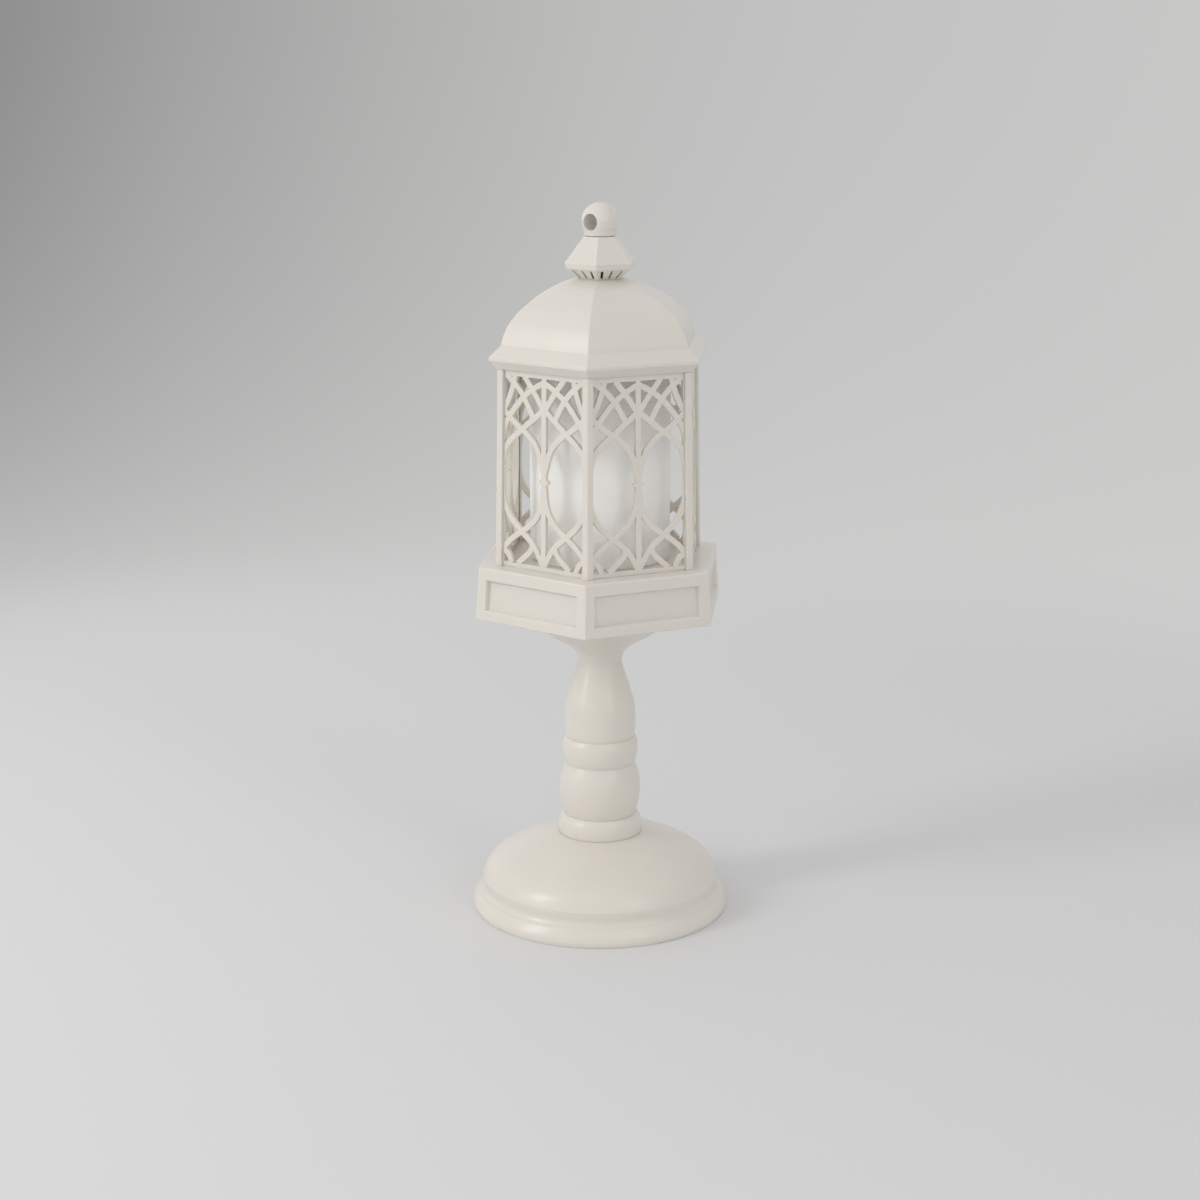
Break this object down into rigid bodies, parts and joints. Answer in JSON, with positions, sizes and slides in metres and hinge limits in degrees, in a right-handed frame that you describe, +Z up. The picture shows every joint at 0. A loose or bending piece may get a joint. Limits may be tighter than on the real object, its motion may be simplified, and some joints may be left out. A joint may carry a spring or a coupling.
{
  "type": "decorative led lantern",
  "caption": "Hexagonal pierced lantern with a domed roof and a pillar candle light inside, on a turned pedestal with a round battery foot.",
  "frame": {"origin": "centre of the round foot, on the surface that it stands on", "axes": "+Z up along the stem, -Y towards a flat side of the hexagonal head, +X towards one of its corners"},
  "size_m": [0.1, 0.098, 0.2684],
  "materials": {
    "lantern_plastic": "satin moulded cream",
    "stand_plastic": "glossy moulded cream",
    "candle_plastic": "wax-like ivory white",
    "flame_plastic": "clear amber",
    "steel": "zinc plated",
    "contact_metal": "nickel plated",
    "board": "green lacquered board",
    "black_plastic": "moulded black",
    "cell_jacket": "plain printed sleeve",
    "slip_pad": "fine foam"
  },
  "bodies": {
    "lantern": {"foot_shell": "stand_plastic", "foot_collar": "stand_plastic", "stem_barrel": "stand_plastic", "stem_bead": "stand_plastic", "stem_cup": "stand_plastic", "hollow_rod": "steel", "bottom_nut": "steel", "top_nut": "steel", "top_washer": "steel", "weight_disc": "steel", "bottom_cover": "stand_plastic", "slip_ring": "slip_pad", "cover_screw_1": "steel", "cover_screw_2": "steel", "cover_screw_3": "steel", "cover_screw_4": "steel", "aaa_cell_1": "cell_jacket", "aaa_cell_2": "cell_jacket", "aaa_cell_3": "cell_jacket", "contact_start": "contact_metal", "contact_link_1": "contact_metal", "contact_link_2": "contact_metal", "contact_end": "contact_metal", "switch_body": "black_plastic", "plinth_shell": "lantern_plastic", "plinth_floor": "lantern_plastic", "floor_screw_1": "steel", "floor_screw_2": "steel", "floor_screw_3": "steel", "corner_post_1": "lantern_plastic", "corner_post_2": "lantern_plastic", "corner_post_3": "lantern_plastic", "corner_post_4": "lantern_plastic", "corner_post_5": "lantern_plastic", "corner_post_6": "lantern_plastic", "fretwork_1": "lantern_plastic", "fretwork_2": "lantern_plastic", "fretwork_3": "lantern_plastic", "fretwork_4": "lantern_plastic", "fretwork_5": "lantern_plastic", "fretwork_6": "lantern_plastic", "cage_ring": "lantern_plastic", "roof_dome": "lantern_plastic", "roof_screw_1": "steel", "roof_screw_2": "steel", "roof_screw_3": "steel", "vent_cap": "lantern_plastic", "finial_ball": "lantern_plastic", "finial_screw": "steel", "candle_shell": "candle_plastic", "led_board": "board", "led_bulb": "flame_plastic", "flame_lens": "flame_plastic", "lead_pair": "black_plastic"},
    "door": {"battery_door": "stand_plastic"},
    "door_fastener": {"door_screw": "steel"},
    "slider": {"switch_slider": "black_plastic"}
  },
  "joints": [
    {"name": "battery_door_lift_out", "type": "slide", "parent": "lantern", "child": "door", "axis": [0, 0, -1], "range_m": [0, 0.025]},
    {"name": "door_screw_turn", "type": "hinge", "parent": "door", "child": "door_fastener", "pos_m": [0.02945, 0, 0], "axis": [0, 0, 1], "range_deg": [0, 1800]},
    {"name": "switch_slide", "type": "slide", "parent": "lantern", "child": "slider", "axis": [1, 0, 0], "range_m": [0, 0.003]}
  ]
}
